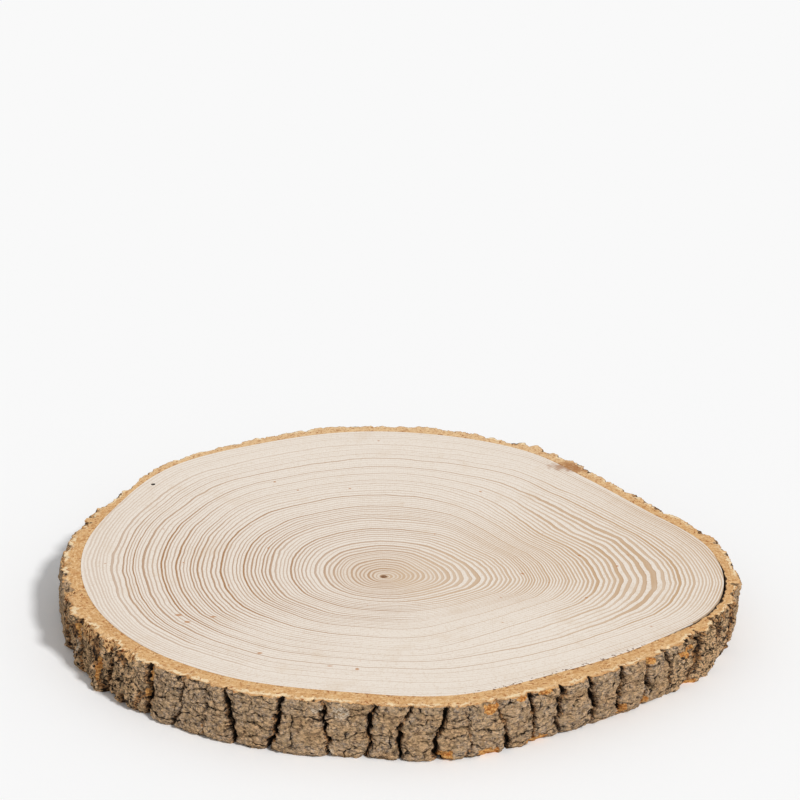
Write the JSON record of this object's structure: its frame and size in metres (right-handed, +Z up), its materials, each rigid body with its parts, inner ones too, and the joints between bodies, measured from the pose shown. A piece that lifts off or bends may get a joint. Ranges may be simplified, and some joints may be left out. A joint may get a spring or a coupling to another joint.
{
  "type": "wood slice",
  "caption": "Flat slice sawn across a tree trunk, egg-shaped in plan, pale ringed wood inside a ring of deeply furrowed bark; lies flat as a stand or board.",
  "frame": {"origin": "on the surface that the slice lies on, under the middle of its bounding box", "axes": "+Z up through the slice, square to both saw cuts; +X along its longest width, towards the narrow end of the egg shape"},
  "size_m": [0.3987, 0.3764, 0.034],
  "materials": {
    "wood": "pale sawn end grain with growth rings, matt and unoiled",
    "bark": "rough grey-brown furrowed bark, tan where it is sawn through, matt"
  },
  "bodies": {
    "root": {"wood_disc": "wood", "bark_ring": "bark"}
  },
  "joints": []
}
